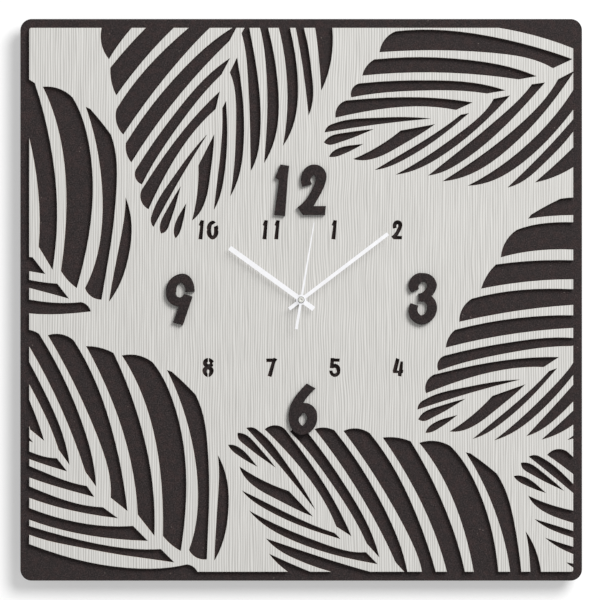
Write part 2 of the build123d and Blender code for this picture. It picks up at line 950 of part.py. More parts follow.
def contact_positive():
    """Right contact strip, led along the bay wall to the circuit board."""
    low = battery_height - positive_reach
    x = battery_length / 2 + contact_gap
    top = bay_top + snug_gap
    left = board_right - positive_inset
    lug_top = board_low + positive_lug
    strip = polygon(
        (x, low),
        (x + contact_thick, low),
        (x + contact_thick, top + contact_thick),
        (left + contact_thick, top + contact_thick),
        (left + contact_thick, lug_top),
        (left, lug_top),
        (left, top),
        (x, top),
    )
    return case_slab(strip, contact_start, contact_end)


def contact_negative():
    """Left contact, a bowed spring leaf with a tail to the circuit board."""
    wall = -inner_half + snug_gap
    rear = wall + contact_thick
    crown = -battery_length / 2 - contact_gap
    leaf_low = battery_height - negative_half
    leaf_high = battery_height + negative_half
    lug_top = board_low + negative_lug
    lug_right = board_left + negative_inset
    strip = outline(
        (wall, leaf_low),
        [(wall, lug_top)],
        [(lug_right, lug_top)],
        [(lug_right, lug_top - contact_thick)],
        [(rear, lug_top - contact_thick)],
        [(rear, leaf_high)],
        [(crown, battery_height), (rear, leaf_low)],
        [(wall, leaf_low)],
    )
    hollow = outline(
        (rear, leaf_high - negative_step),
        [(crown - contact_thick, battery_height), (rear, leaf_low + negative_step)],
        [(rear, leaf_high - negative_step)],
    )
    return case_slab(strip - hollow, contact_start, contact_end)


coil_x = 20.0
coil_low = -5.6
coil_high = 16.0
coil_flange = 0.8
coil_flange_radius = 4.1
coil_radius = 3.8
coil_tube_radius = 2.0
stator_depth = 10.6
stator_thick = 0.8
core_half_width = 1.4
stator_low = -9.6
stator_high = 19.0
stator_arm = 2.2
stator_waist = 2.0
stator_stem = 4.0
stator_overlap = 1.6
magnet_radius = 2.5
magnet_start = 9.9
magnet_end = 11.9
magnet_gap = 0.4
magnet_frame = 1.3


def upright(radius, low, high):
    """Upright cylinder on the coil axis."""
    y = case_front_y + stator_depth - stator_thick / 2
    return Pos(coil_x, y, (low + high) / 2) * Cylinder(radius, high - low)


def stator():
    """Flat iron plate around the rotor, with two arms to the coil core."""
    left = rotor_axis[0] - magnet_radius - magnet_frame
    right = rotor_axis[0] + magnet_radius + magnet_frame
    end = coil_x + stator_overlap
    face = block(left, right, stator_low, stator_waist)
    face += block(right - stator_stem, right, 0, stator_high)
    face += block(left, end, stator_low, stator_low + stator_arm)
    face += block(right - stator_stem, end, stator_high - stator_arm, stator_high)
    face -= disc(magnet_radius + magnet_gap, rotor_axis)
    return case_slab(face, stator_depth, stator_depth + stator_thick)


def coil_core():
    """Iron strip that runs through the coil and bridges the stator arms."""
    left = coil_x - core_half_width
    right = coil_x + core_half_width
    face = block(left, right, stator_low + loose_gap, stator_high - loose_gap)
    return case_slab(face, stator_depth - stator_thick, stator_depth)


def coil_bobbin():
    """Plastic reel with a flat passage for the core."""
    reel = upright(coil_tube_radius, coil_low, coil_high)
    reel += upright(coil_flange_radius, coil_low, coil_low + coil_flange)
    reel += upright(coil_flange_radius, coil_high - coil_flange, coil_high)
    half = core_half_width + snug_gap
    passage = block(coil_x - half, coil_x + half, coil_low, coil_high)
    start = stator_depth - stator_thick - snug_gap
    return reel - case_slab(passage, start, stator_depth + snug_gap)


def coil_winding():
    """Copper winding between the flanges of the reel."""
    low = coil_low + coil_flange
    high = coil_high - coil_flange
    return upright(coil_radius, low, high) - upright(coil_tube_radius, low, high)


# ---- moving parts of the movement -----------------------------------------
pivot_front = plate_depth + loose_gap
pivot_rear = lid_depth + 0.6
wheel_thick = 0.7
pinion_lap = 0.3
window_margin = 0.5
spoke_width = 0.6
motion_hub_radius = 1.2
knob_gap = 0.3
knob_ribs = 30
knob_rib_module = 0.29
knob_recess_radius = 2.4
knob_recess_depth = 1.0

# Depth of the front of each wheel behind the case front, from the dial to the lid.
hour_depth = 1.7
cannon_depth = 3.1
centre_depth = 6.6
rotor_depth = 8.1
third_depth = 9.4
second_depth = 12.2


def wheel_slab(face, depth):
    """Wheel at its own depth."""
    return case_slab(face, depth, depth + wheel_thick)


def pinion_slab(face, depth):
    """Pinion that stands a little past the wheel it meshes with on both sides."""
    return case_slab(face, depth - pinion_lap, depth + wheel_thick + pinion_lap)


def wheel_windows(hub, rim, count, centre):
    """Ring of round windows between the hub and the rim of a wheel."""
    middle = (rim + hub) / 2
    widest = (rim - hub - window_margin) / 2
    window = min(widest, middle * math.sin(math.pi / count) - spoke_width / 2)
    windows = Sketch()
    for index in range(count):
        windows += disc(window, step(centre, index * 360 / count, middle))
    return windows


def rotor_magnet():
    """Round magnet of the stepping motor."""
    face = ring(magnet_radius, rotor_arbor_radius, rotor_axis)
    return case_slab(face, magnet_start, magnet_end)


def rotor_pinion():
    """Rotor arbor with its pinion."""
    phase = gap_phase(pinion_leaves, rotor_angle + 180)
    leaves = gear(pinion_leaves, rotor_module, phase, rotor_axis)
    arbor = case_slab(disc(rotor_arbor_radius, rotor_axis), pivot_front, pivot_rear)
    return arbor + pinion_slab(leaves, rotor_depth)


def intermediate_wheel():
    """Wheel turned by the rotor, with the pinion that turns the second wheel."""
    face = gear(intermediate_teeth, rotor_module, rotor_angle, intermediate_axis)
    face -= wheel_windows(1.0, 3.7, 6, intermediate_axis)
    phase = gap_phase(pinion_leaves, intermediate_angle + 180)
    leaves = gear(pinion_leaves, second_module, phase, intermediate_axis)
    arbor = case_slab(disc(arbor_radius, intermediate_axis), pivot_front, pivot_rear)
    return wheel_slab(face, rotor_depth) + arbor + pinion_slab(leaves, second_depth)


def second_wheel():
    """Second wheel, its pinion and the long arbor of the second hand."""
    face = gear(second_teeth, second_module, intermediate_angle) - wheel_windows(1.2, 5.0, 5, shaft)
    leaves = gear(pinion_leaves, third_module, third_angle)
    arbor = slab(disc(second_arbor_radius), -case_offset - pivot_rear, second_hand_top)
    return wheel_slab(face, second_depth) + arbor + pinion_slab(leaves, third_depth)


def third_wheel():
    """Wheel between the second wheel and the centre wheel."""
    phase = gap_phase(third_teeth, third_angle + 180)
    face = gear(third_teeth, third_module, phase, third_axis)
    face -= wheel_windows(1.0, 5.3, 6, third_axis)
    leaves = gear(pinion_leaves, centre_module, third_angle + 180, third_axis)
    arbor = case_slab(disc(arbor_radius, third_axis), pivot_front, pivot_rear)
    return wheel_slab(face, third_depth) + arbor + pinion_slab(leaves, centre_depth)


def centre_wheel():
    """Wheel that turns once an hour and drags the minute pipe by friction."""
    face = gear(centre_teeth, centre_module, gap_phase(centre_teeth, third_angle))
    face -= wheel_windows(1.9, 5.4, 6, shaft)
    face -= disc(minute_seat_radius + running_gap)
    return wheel_slab(face, centre_depth)


def minute_pipe():
    """Pipe of the minute hand with the cannon pinion."""
    seat_end = -case_offset - centre_depth - wheel_thick - pinion_lap
    pipe_end = -case_offset - cannon_depth + pinion_lap
    pipe = slab(disc(minute_seat_radius), seat_end, minute_hand_top)
    pipe += slab(disc(minute_pipe_radius), pipe_end, minute_hand_top)
    pipe += pinion_slab(gear(cannon_leaves, cannon_module, motion_angle), cannon_depth)
    return pipe - slab(disc(second_arbor_radius + running_gap), seat_end, minute_hand_top)


def motion_wheel():
    """Wheel turned by the cannon pinion, with the pinion that turns the hour wheel."""
    phase = gap_phase(motion_teeth, motion_angle + 180)
    face = gear(motion_teeth, cannon_module, phase, motion_axis)
    leaves = gear(motion_leaves, hour_module, motion_angle + 180, motion_axis)
    hub = case_slab(disc(motion_hub_radius, motion_axis), hour_depth + wheel_thick, cannon_depth)
    solid = wheel_slab(face, cannon_depth) + hub + pinion_slab(leaves, hour_depth)
    bore = disc(motion_pin_radius + running_gap, motion_axis)
    return solid - case_slab(bore, hour_depth - pinion_lap, cannon_depth + wheel_thick)


def hour_wheel():
    """Hour wheel and the pipe of the hour hand."""
    face = gear(hour_teeth, hour_module, gap_phase(hour_teeth, motion_angle))
    pipe_end = -case_offset - hour_depth - wheel_thick
    solid = wheel_slab(face, hour_depth) + slab(disc(hour_pipe_radius), pipe_end, hour_hand_top)
    return solid - slab(disc(minute_pipe_radius + running_gap), pipe_end, hour_hand_top)


def setting_knob():
    """Ribbed knob at the rear, with a pinion that turns the motion wheel."""
    grip_start = case_depth + knob_gap
    grip_end = grip_start + knob_thick
    solid = pinion_slab(gear(knob_leaves, cannon_module, motion_angle + 180, knob_axis), cannon_depth)
    solid += case_slab(disc(knob_shaft_radius, knob_axis), cannon_depth, grip_start)
    solid += case_slab(gear(knob_ribs, knob_rib_module, 0, knob_axis), grip_start, grip_end)
    return solid - case_slab(disc(knob_recess_radius, knob_axis), grip_end - knob_recess_depth, grip_end)


# ---- writing the sub-parts ------------------------------------------------
save("base_panel", base_panel())
save("front_panel", front_panel())
save("numeral_twelve_one", numeral(placed(digit_one(), -23.9, 75.5)))
save("numeral_twelve_two", numeral(placed(digit_two(), 1.5, 75.5)))
save("numeral_three", numeral(digit_three()))
save("numeral_six", numeral(digit_six()))
save("numeral_nine", numeral(digit_nine()))
save("hour_hand", hour_hand())
save("minute_hand", minute_hand())
save("second_hand", second_hand())
save("gasket", gasket())
save("hanger", hanger())
save("washer", washer())
save("hex_nut", hex_nut())
save("wall_spacers", wall_spacers())
save("movement_case", movement_case())
save("middle_plate", middle_plate())
save("movement_cover", movement_cover())
save("circuit_board", circuit_board())
save("quartz_crystal", quartz_crystal())
save("battery", battery())
save("contact_positive", contact_positive())
save("contact_negative", contact_negative())
save("stator", stator())
save("coil_core", coil_core())
save("coil_bobbin", coil_bobbin())
save("coil_winding", coil_winding())
save("rotor_magnet", rotor_magnet())
save("rotor_pinion", rotor_pinion())
save("intermediate_wheel", intermediate_wheel())
save("second_wheel", second_wheel())
save("third_wheel", third_wheel())
save("centre_wheel", centre_wheel())
save("minute_pipe", minute_pipe())
save("motion_wheel", motion_wheel())
save("hour_wheel", hour_wheel())
save("setting_knob", setting_knob())
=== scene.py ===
import bmesh
import bpy
import json
import math
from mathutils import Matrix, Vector


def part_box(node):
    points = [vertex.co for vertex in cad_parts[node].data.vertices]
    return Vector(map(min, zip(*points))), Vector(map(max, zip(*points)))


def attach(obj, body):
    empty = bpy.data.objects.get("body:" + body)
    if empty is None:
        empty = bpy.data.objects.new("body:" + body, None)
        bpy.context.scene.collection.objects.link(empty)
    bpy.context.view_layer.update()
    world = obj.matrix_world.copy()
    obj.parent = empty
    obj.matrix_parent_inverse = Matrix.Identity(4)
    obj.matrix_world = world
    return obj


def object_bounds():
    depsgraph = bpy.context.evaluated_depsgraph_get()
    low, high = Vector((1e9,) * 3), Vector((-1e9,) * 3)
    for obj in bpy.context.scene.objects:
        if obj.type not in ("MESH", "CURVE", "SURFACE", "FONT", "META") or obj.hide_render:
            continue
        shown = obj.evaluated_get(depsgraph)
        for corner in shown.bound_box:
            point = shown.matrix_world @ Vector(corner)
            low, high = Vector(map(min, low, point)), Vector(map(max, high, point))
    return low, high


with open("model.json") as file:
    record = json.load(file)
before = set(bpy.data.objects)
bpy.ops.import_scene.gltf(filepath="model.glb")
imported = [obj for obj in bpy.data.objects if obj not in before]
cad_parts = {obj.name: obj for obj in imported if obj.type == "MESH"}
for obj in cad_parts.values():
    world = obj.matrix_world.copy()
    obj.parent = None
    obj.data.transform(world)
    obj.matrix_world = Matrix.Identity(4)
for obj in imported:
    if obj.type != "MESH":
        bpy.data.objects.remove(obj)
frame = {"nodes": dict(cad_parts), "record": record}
cad_low, cad_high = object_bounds()
nodes = frame["nodes"]
record = frame["record"]

# Wall clock seen straight on. It faces -Y, +X is to the right and +Z is up, in metres.
MM = 0.001

# Nearly all of a noise's values lie in the wide span, and most of them in the narrow one.
WIDE = (0.3, 0.7)
NARROW = (0.35, 0.65)

# Cosine of the turn at which a rounded edge starts to show, and at which it shows fully.
EDGE_STARTS = 0.995
EDGE_FULL = 0.8
BEVEL_SAMPLES = 4


# ---- node materials ---------------------------------------------------------
class Shader:
    """Builds one node material step by step. Textures use the clock's frame in metres."""

    def __init__(self, name):
        self.material = bpy.data.materials.new(name)
        self.material.use_nodes = True
        self.tree = self.material.node_tree
        self.tree.nodes.clear()
        self.surface = self.add("ShaderNodeBsdfPrincipled")
        self.output = self.add("ShaderNodeOutputMaterial")
        self.put(self.output.inputs["Surface"], self.surface.outputs[0])
        self.place = self.add("ShaderNodeTexCoord").outputs["Object"]

    def add(self, kind, **settings):
        node = self.tree.nodes.new(kind)
        for key, value in settings.items():
            setattr(node, key, value)
        return node

    def put(self, socket, value):
        """Link a socket or set its value."""
        if isinstance(value, bpy.types.NodeSocket):
            self.tree.links.new(value, socket)
        elif isinstance(value, tuple) and socket.type == "RGBA":
            socket.default_value = (*value, 1)
        else:
            socket.default_value = value

    def math(self, operation, a, b=0.0):
        node = self.add("ShaderNodeMath", operation=operation)
        self.put(node.inputs[0], a)
        self.put(node.inputs[1], b)
        return node.outputs[0]

    def axis(self, letter, vector=None):
        node = self.add("ShaderNodeSeparateXYZ")
        self.put(node.inputs[0], vector or self.place)
        return node.outputs[letter]

    def vector(self, x, y, z):
        node = self.add("ShaderNodeCombineXYZ")
        for socket, value in zip(node.inputs, (x, y, z)):
            self.put(socket, value)
        return node.outputs[0]

    def stretch(self, x, y, z, vector=None):
        """Texture place with its own scale, in features per metre, along each axis."""
        node = self.add("ShaderNodeMapping")
        self.put(node.inputs["Vector"], vector or self.place)
        node.inputs["Scale"].default_value = (x, y, z)
        return node.outputs[0]

    def noise(self, vector, detail, roughness=0.55, distortion=0.0):
        node = self.add("ShaderNodeTexNoise")
        self.put(node.inputs["Vector"], vector)
        self.put(node.inputs["Scale"], 1.0)
        self.put(node.inputs["Detail"], detail)
        self.put(node.inputs["Roughness"], roughness)
        self.put(node.inputs["Distortion"], distortion)
        return node.outputs["Fac"]

    def even(self, per_metre, detail=3.0, roughness=0.55):
        """Noise with the same scale, in features per metre, along every axis."""
        return self.noise(self.stretch(per_metre, per_metre, per_metre), detail, roughness)

    def specks(self, per_metre, size):
        """Sparse round specks, 1 inside a speck and 0 outside."""
        node = self.add("ShaderNodeTexVoronoi", feature="F1")
        self.put(node.inputs["Vector"], self.stretch(per_metre, per_metre, per_metre))
        self.put(node.inputs["Scale"], 1.0)
        return self.span(node.outputs["Distance"], size, 0.0)

    def span(self, value, low, high, out_low=0.0, out_high=1.0):
        """Value between two limits, carried over to two others and held inside them."""
        node = self.add("ShaderNodeMapRange", clamp=True)
        for socket, number in zip(node.inputs, (value, low, high, out_low, out_high)):
            self.put(socket, number)
        return node.outputs[0]

    def mix(self, share, a, b):
        node = self.add("ShaderNodeMix", data_type="RGBA")
        self.put(node.inputs[0], share)
        self.put(node.inputs[6], a)
        self.put(node.inputs[7], b)
        return node.outputs[2]

    def cover(self, mask, share, under, over):
        """One colour laid over another where the mask is 1, at a share of full strength."""
        return self.mix(self.math("MULTIPLY", mask, share), under, over)

    def softened(self, radius):
        """Normal that is rounded off near the edges."""
        bevel = self.add("ShaderNodeBevel", samples=BEVEL_SAMPLES)
        self.put(bevel.inputs["Radius"], radius)
        return bevel.outputs[0]

    def edges(self, soft):
        """1 on the edges, where a softened normal leaves the true one, and 0 elsewhere."""
        flat = self.add("ShaderNodeNewGeometry").outputs["Normal"]
        dot = self.add("ShaderNodeVectorMath", operation="DOT_PRODUCT")
        self.put(dot.inputs[0], soft)
        self.put(dot.inputs[1], flat)
        return self.span(dot.outputs["Value"], EDGE_STARTS, EDGE_FULL)

    def side_wall(self):
        """1 on faces that run front to back, such as a cut edge, and 0 on the flat faces."""
        normal = self.add("ShaderNodeNewGeometry").outputs["True Normal"]
        facing = self.math("ABSOLUTE", self.axis("Y", normal))
        return self.math("LESS_THAN", facing, 0.5)

    def bump(self, height, depth, normal=None):
        """Relief of a real depth in metres."""
        node = self.add("ShaderNodeBump")
        self.put(node.inputs["Strength"], 1.0)
        self.put(node.inputs["Distance"], depth)
        self.put(node.inputs["Height"], height)
        if normal is not None:
            self.put(node.inputs["Normal"], normal)
        return node.outputs[0]

    def finish(self, colour, roughness, normal=None, metallic=0.0, specular=0.5):
        self.put(self.surface.inputs["Base Color"], colour)
        self.put(self.surface.inputs["Roughness"], roughness)
        self.put(self.surface.inputs["Metallic"], metallic)
        self.put(self.surface.inputs["Specular IOR Level"], specular)
        if normal is not None:
            self.put(self.surface.inputs["Normal"], normal)
        return self.material


def scaled(colour, gain):
    """Lighter or darker colour, with no channel over full."""
    return tuple(min(1, channel * gain) for channel in colour)


def cut_layers(s, dark, pale):
    """Colour of a board's cut edge, where its thin layers show one behind the other."""
    along_layers = 60
    through_layers = 5200
    place = s.stretch(along_layers, through_layers, along_layers)
    layers = s.noise(place, detail=2.0)
    return s.mix(s.span(layers, *WIDE), dark, pale)


def dark_board(name, base, edge_colour, rim=0.0):
    """Matt dyed fibreboard: fine fibres, warm blotches, rare pale specks, charred cut edges, and a
    dark front rim that is part char, part painted shade.
    """
    s = Shader(name)
    warm_gains = (1.46, 1.22, 1.18)
    warm = tuple(channel * gain for channel, gain in zip(base, warm_gains))
    speck_colour = (0.24, 0.20, 0.18)

    fibre = s.even(per_metre=980, detail=2.0, roughness=0.7)
    cloud = s.even(per_metre=150, detail=4.0, roughness=0.65)
    colour = s.mix(s.span(cloud, 0.46, 0.64), base, warm)
    colour = s.mix(s.span(fibre, 0.50, 0.26), colour, scaled(base, 0.10))
    colour = s.mix(s.span(fibre, 0.51, 0.75), colour, scaled(base, 2.9))
    some_places = s.span(s.even(per_metre=37), 0.52, 0.6)
    speck = s.math("MULTIPLY", s.specks(per_metre=150, size=0.11), some_places)
    colour = s.cover(speck, 0.7, colour, speck_colour)
    cut = cut_layers(s, edge_colour, scaled(edge_colour, 2.1))
    colour = s.mix(s.side_wall(), colour, cut)

    soft = s.softened(0.75 * MM)
    edge = s.edges(soft)
    # Dark front rim at the rim's share: part laser char, part painted shade that outlines the
    # edges like a contact shadow.
    colour = s.cover(edge, rim, colour, edge_colour)
    worn = s.math("MULTIPLY", edge, s.span(s.even(per_metre=260), 0.5, 0.75, 0.0, 0.15))
    colour = s.mix(worn, colour, scaled(base, 2.2))
    rough = s.span(fibre, *WIDE, 0.64, 0.86)
    return s.finish(colour, rough, s.bump(fibre, 0.05 * MM, soft), specular=0.18)


def light_board():
    """Pale laminate with fine upright grain that wanders near the middle, on a cream core."""
    s = Shader("light_laminate")
    pitch = 2.25 * MM
    slip_most = 11.0
    wander_place = 18 * MM
    wander_width = 40 * MM
    wander_here = 7 * MM
    wander_elsewhere = 1.4 * MM
    band_dark = (0.580, 0.570, 0.545)
    band_pale = (0.595, 0.585, 0.560)
    groove = (0.452, 0.443, 0.423)
    ridge = (0.685, 0.675, 0.650)
    core_dark = (0.40, 0.31, 0.25)
    core_pale = (0.56, 0.46, 0.38)
    core_and_highlight_edge = (0.64, 0.56, 0.49)

    x = s.axis("X")
    z = s.axis("Z")
    beside = s.math("MULTIPLY", s.math("SUBTRACT", x, wander_place), 1 / wander_width)
    middle = s.math("DIVIDE", 1.0, s.math("ADD", s.math("POWER", beside, 2.0), 1.0))
    reach = s.math("ADD", s.math("MULTIPLY", middle, wander_here), wander_elsewhere)
    sway = s.math("SUBTRACT", s.noise(s.stretch(22, 1, 14), detail=1.0), 0.5)
    moved = s.math("ADD", x, s.math("MULTIPLY", sway, reach))
    fibres = s.vector(moved, 0.0, z)

    drift = s.noise(s.stretch(150, 1, 11, fibres), detail=2.0)
    slip = s.math("MULTIPLY", drift, slip_most)
    turns = s.math("MULTIPLY", moved, 2 * math.pi / pitch)
    lines = s.span(s.math("SINE", s.math("ADD", turns, slip)), -1.0, 1.0)
    loose = s.noise(s.stretch(760, 1, 24, fibres), detail=2.0, roughness=0.6)
    bands = s.noise(s.stretch(70, 1, 3, fibres), detail=1.0)
    grain = s.math("ADD", s.math("MULTIPLY", lines, 0.5), s.math("MULTIPLY", loose, 0.5))
    colour = s.mix(s.span(bands, *WIDE), band_dark, band_pale)
    colour = s.mix(s.span(grain, 0.50, 0.22), colour, groove)
    colour = s.mix(s.span(grain, 0.54, 0.80), colour, ridge)
    colour = s.mix(s.side_wall(), colour, cut_layers(s, core_dark, core_pale))

    soft = s.softened(0.6 * MM)
    # Paler rounded edges: the cream core shows there, and the band is also a painted edge
    # highlight.
    colour = s.cover(s.edges(soft), 0.4, colour, core_and_highlight_edge)
    rough = s.span(grain, *WIDE, 0.62, 0.46)
    return s.finish(colour, rough, s.bump(grain, 0.04 * MM, soft), specular=0.3)


def enamel(name, colour, edge_colour):
    """Satin enamel on thin aluminium, greyer along the edges, where the grey is painted shade."""
    s = Shader(name)
    peel = s.even(per_metre=900, detail=2.0)
    soft = s.softened(0.16 * MM)
    tone = s.mix(s.span(s.even(per_metre=160), *NARROW), colour, scaled(colour, 0.95))
    # Painted shade: the enamel is greyed along every edge.
    tone = s.cover(s.edges(soft), 0.6, tone, edge_colour)
    rough = s.span(peel, *WIDE, 0.30, 0.42)
    return s.finish(tone, rough, s.bump(peel, 0.01 * MM, soft))


def metal(
    name, colour, rough, along=(1, 1, 1), tarnish=0.25, edge_radius=0.15 * MM, bare=1.0
):
    """Metal with drawn streaks, dull patches and bright rubbed edges.

    The streaks are longest along the axes with the smallest numbers. The last value is 1
    for bare metal and less for metal under a coating.
    """
    s = Shader(name)
    per_metre = 2600
    streaks = s.noise(s.stretch(*(per_metre * share for share in along)), detail=3.0)
    patches = s.even(per_metre=170)
    tone = s.cover(s.span(patches, 0.42, 0.66), tarnish, colour, scaled(colour, 0.62))
    soft = s.softened(edge_radius)
    tone = s.cover(s.edges(soft), 0.5, tone, scaled(colour, 1.25))
    both = s.math("ADD", streaks, patches)
    shine = s.span(both, 0.7, 1.3, rough * 0.75, rough * 1.35)
    return s.finish(tone, shine, s.bump(streaks, 0.012 * MM, soft), metallic=bare)


def plastic(name, colour, rough, grain=700, depth=0.03 * MM, edge_gain=1.8):
    """Moulded plastic with a spark-eroded grain, faint flow marks and rubbed edges."""
    s = Shader(name)
    pits = s.even(per_metre=grain, roughness=0.6)
    flow = s.noise(s.stretch(45, 45, 12), detail=2.0, distortion=0.8)
    tone = s.mix(s.span(flow, *NARROW), colour, scaled(colour, 0.8))
    soft = s.softened(0.3 * MM)
    rubbed = s.span(s.even(per_metre=420), 0.4, 0.65, 0.15, 0.7)
    tone = s.cover(s.edges(soft), rubbed, tone, scaled(colour, edge_gain))
    shine = s.span(pits, *WIDE, rough - 0.08, rough + 0.12)
    return s.finish(tone, shine, s.bump(pits, depth, soft), specular=0.4)


def rubber():
    """Matt black rubber with a fine bloom and dust in its pores."""
    s = Shader("black_rubber")
    clean = (0.016, 0.016, 0.016)
    dusty = (0.060, 0.058, 0.055)
    edge_colour = (0.045, 0.045, 0.045)
    pores = s.even(per_metre=1100, detail=4.0, roughness=0.7)
    dust = s.math("MULTIPLY", s.span(s.even(per_metre=60), 0.5, 0.7), s.span(pores, 0.45, 0.65))
    soft = s.softened(0.4 * MM)
    tone = s.cover(s.edges(soft), 0.4, s.mix(dust, clean, dusty), edge_colour)
    rough = s.span(pores, *WIDE, 0.78, 0.95)
    return s.finish(tone, rough, s.bump(pores, 0.05 * MM, soft), specular=0.25)


def circuit_green():
    """Solder mask over glass weave, with the pale copper tracks beneath showing through."""
    s = Shader("solder_mask")
    mask_colour = (0.018, 0.110, 0.045)
    track_colour = (0.055, 0.230, 0.095)
    weave_scale = 2600
    track_scale = 330.0
    gap_size = 0.12
    weave_node = s.add("ShaderNodeTexWave", wave_type="BANDS", bands_direction="X")
    s.put(weave_node.inputs["Vector"], s.stretch(weave_scale, 1, weave_scale))
    s.put(weave_node.inputs["Scale"], 1.0)
    weave = weave_node.outputs[1]
    tracks = s.add("ShaderNodeTexBrick", offset=0.5)
    s.put(tracks.inputs["Vector"], s.vector(s.axis("X"), s.axis("Z"), 0.0))
    s.put(tracks.inputs["Scale"], track_scale)
    s.put(tracks.inputs["Mortar Size"], gap_size)
    track = s.span(tracks.outputs["Fac"], 0.0, 1.0)
    tone = s.mix(track, mask_colour, track_colour)
    height = s.math("ADD", s.math("MULTIPLY", track, 0.8), s.math("MULTIPLY", weave, 0.2))
    rough = s.span(weave, 0.0, 1.0, 0.22, 0.34)
    return s.finish(tone, rough, s.bump(height, 0.03 * MM, s.softened(0.1 * MM)))


def battery_skin(low, high):
    """Printed sleeve with a coloured band at one end and bare drawn metal at both ends.

    The places where one colour gives way to another are shares of the cell's length.
    """
    s = Shader("battery_sleeve")
    flat_end = 0.016
    band_start = 0.735
    button_end = 0.976
    blur = 0.003
    ink_dark = (0.020, 0.026, 0.040)
    ink_pale = (0.030, 0.038, 0.056)
    band_dark = (0.46, 0.20, 0.08)
    band_pale = (0.56, 0.26, 0.11)
    metal_colour = (0.62, 0.62, 0.60)
    edge_colour = (0.55, 0.55, 0.55)

    along = s.span(s.axis("X"), low.x, high.x)
    button = s.span(along, button_end, button_end + blur)
    flat = s.span(along, flat_end, flat_end - blur)
    bare = s.math("MAXIMUM", button, flat)
    band = s.span(along, band_start, band_start + blur)
    print_grain = s.span(s.even(per_metre=520), *NARROW)
    sleeve = s.mix(print_grain, ink_dark, ink_pale)
    copper = s.mix(print_grain, band_dark, band_pale)
    tone = s.mix(bare, s.mix(band, sleeve, copper), metal_colour)
    scuff = s.noise(s.stretch(240, 900, 900), detail=3.0)
    soft = s.softened(0.3 * MM)
    tone = s.cover(s.edges(soft), 0.35, tone, edge_colour)
    rough = s.span(scuff, 0.35, 0.7, 0.26, 0.46)
    metallic = s.math("MAXIMUM", bare, 0.25)
    return s.finish(tone, rough, s.bump(scuff, 0.012 * MM, soft), metallic=metallic)


def copper_winding():
    """Close turns of enamelled wire, with painted shade between the turns and a painted highlight
    on their crests.
    """
    s = Shader("copper_turns")
    # Painted shade between the turns and a painted highlight on the crests of the wire.
    between = (0.30, 0.09, 0.03)
    crest = (0.78, 0.34, 0.15)
    turn_scale = 1600
    turns = s.add("ShaderNodeTexWave", wave_type="BANDS", bands_direction="Z")
    s.put(turns.inputs["Vector"], s.stretch(1, 1, turn_scale))
    s.put(turns.inputs["Scale"], 1.0)
    s.put(turns.inputs["Distortion"], 0.6)
    wire = turns.outputs[1]
    shine = s.span(wire, 0, 1, 0.5, 0.28)
    return s.finish(s.mix(wire, between, crest), shine, s.bump(wire, 0.06 * MM), metallic=0.85)


# ---- which material goes on which piece -------------------------------------
BOARD = (0.0238, 0.0184, 0.0185)
NUMERAL = scaled(BOARD, 0.82)
# Charred cut-wall colour, also used for the numerals' rim of painted shade.
CHARRED_AND_SHADE = (0.0065, 0.0050, 0.0045)
BROWNED = (0.016, 0.011, 0.009)
WHITE = (0.855, 0.855, 0.875)
# Grey for the painted shade along the edges of the hands.
EDGE_SHADE_WHITE = (0.40, 0.40, 0.44)
BLACK = (0.022, 0.022, 0.024)
ACETAL = (0.72, 0.70, 0.62)
ZINC = (0.60, 0.61, 0.62)
BRASS = (0.80, 0.60, 0.28)
MAGNET = (0.20, 0.20, 0.21)
# Colour of the painted shade ring round the cap.
CAP_GROOVE_SHADE = (0.07, 0.07, 0.08)
SATIN = (0.66, 0.66, 0.62)

finishes = {
    "dark_board": dark_board("dyed_board", BOARD, BROWNED),
    "light_board": light_board(),
    "dark_numeral": dark_board("numeral_board", NUMERAL, CHARRED_AND_SHADE, rim=0.85),
    "white_hand": enamel("hand_enamel", WHITE, EDGE_SHADE_WHITE),
    "black_plastic": plastic("case_plastic", BLACK, rough=0.48),
    "pale_plastic": plastic(
        "natural_acetal", ACETAL, rough=0.38, grain=900, depth=0.01 * MM, edge_gain=1.15
    ),
    "steel": metal("plated_steel", ZINC, rough=0.34, along=(1, 1, 0.05)),
    "brass": metal("turned_brass", BRASS, rough=0.28, along=(0.4, 1, 0.4)),
    "copper": copper_winding(),
    "rubber": rubber(),
    "board": circuit_green(),
    "cell": battery_skin(*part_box("battery")),
    "magnet": metal("sintered_magnet", MAGNET, rough=0.55, tarnish=0.5),
}

for subpart in record["subparts"]:
    thing = nodes[subpart["node"]]
    coat = finishes[subpart["material_slot"]]
    if not thing.material_slots:
        thing.data.materials.append(coat)
    for holder in thing.material_slots:
        holder.material = coat


# ---- small turned detail on the hub -----------------------------------------
def turned(name, profile, centre, coat, steps=72):
    """Ring turned about the shaft from a closed profile of (radius, height towards the viewer)."""
    mesh = bpy.data.meshes.new(name)
    shape = bmesh.new()
    rows = []
    for index in range(steps):
        angle = 2 * math.pi * index / steps
        row = []
        for radius, height in profile:
            x = centre.x + radius * math.cos(angle)
            z = centre.z + radius * math.sin(angle)
            row.append(shape.verts.new((x, centre.y - height, z)))
        rows.append(row)
    count = len(profile)
    for index in range(steps):
        this = rows[index]
        following = rows[(index + 1) % steps]
        for k in range(count):
            n = (k + 1) % count
            shape.faces.new((this[k], this[n], following[n], following[k]))
    bmesh.ops.recalc_face_normals(shape, faces=shape.faces)
    shape.to_mesh(mesh)
    shape.free()
    mesh.shade_smooth()
    mesh.materials.append(coat)
    ring = bpy.data.objects.new(name, mesh)
    bpy.context.scene.collection.objects.link(ring)
    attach(ring, "second_set")
    return ring


def bead_profile(middle, half_width, height, points=9):
    """Low rounded bead, flat beneath, as a closed profile."""
    bead = []
    for index in range(points):
        angle = math.pi * index / (points - 1)
        bead.append((middle - half_width * math.cos(angle), height * math.sin(angle)))
    return bead


